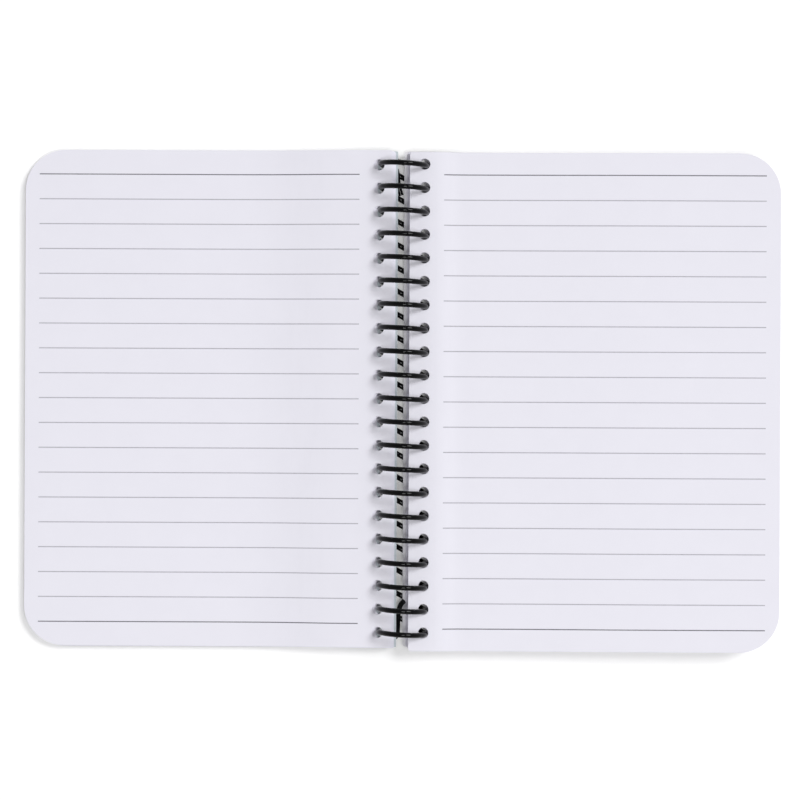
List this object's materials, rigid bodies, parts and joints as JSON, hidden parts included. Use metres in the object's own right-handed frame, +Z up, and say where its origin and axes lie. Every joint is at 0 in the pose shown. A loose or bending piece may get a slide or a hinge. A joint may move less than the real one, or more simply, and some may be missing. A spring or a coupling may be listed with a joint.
{
  "type": "open spiral notebook",
  "caption": "Ruled notebook lying open flat, its rounded sheets and card covers turning on one black coil.",
  "frame": {"origin": "centre of the object's box, on the table under the spine", "axes": "+X to the right across the open spread, +Y up the pages along the coil, +Z up from the table"},
  "size_m": [0.2746, 0.1814, 0.0186],
  "materials": {
    "cover_card": "matte",
    "sheets": "matte",
    "ruling_ink": "matte",
    "coil_plastic": "gloss"
  },
  "bodies": {
    "book": {"right_pages": "sheets", "right_ruling": "ruling_ink", "spiral_coil": "coil_plastic"},
    "turned_pages": {"left_pages": "sheets", "left_ruling": "ruling_ink"},
    "front_cover": {"front_cover": "cover_card"},
    "back_cover": {"back_cover": "cover_card"}
  },
  "joints": [
    {"name": "pages_turn", "type": "hinge", "parent": "book", "child": "turned_pages", "pos_m": [0.00053, 0, 0.0093], "axis": [0, 1, 0], "range_deg": [0, 179]},
    {"name": "front_cover_turn", "type": "hinge", "parent": "turned_pages", "child": "front_cover", "pos_m": [0.00053, 0, 0.0093], "axis": [0, 1, 0], "range_deg": [-8, 0]},
    {"name": "back_cover_turn", "type": "hinge", "parent": "book", "child": "back_cover", "pos_m": [0.00053, 0, 0.0093], "axis": [0, 1, 0], "range_deg": [0, 8]}
  ]
}
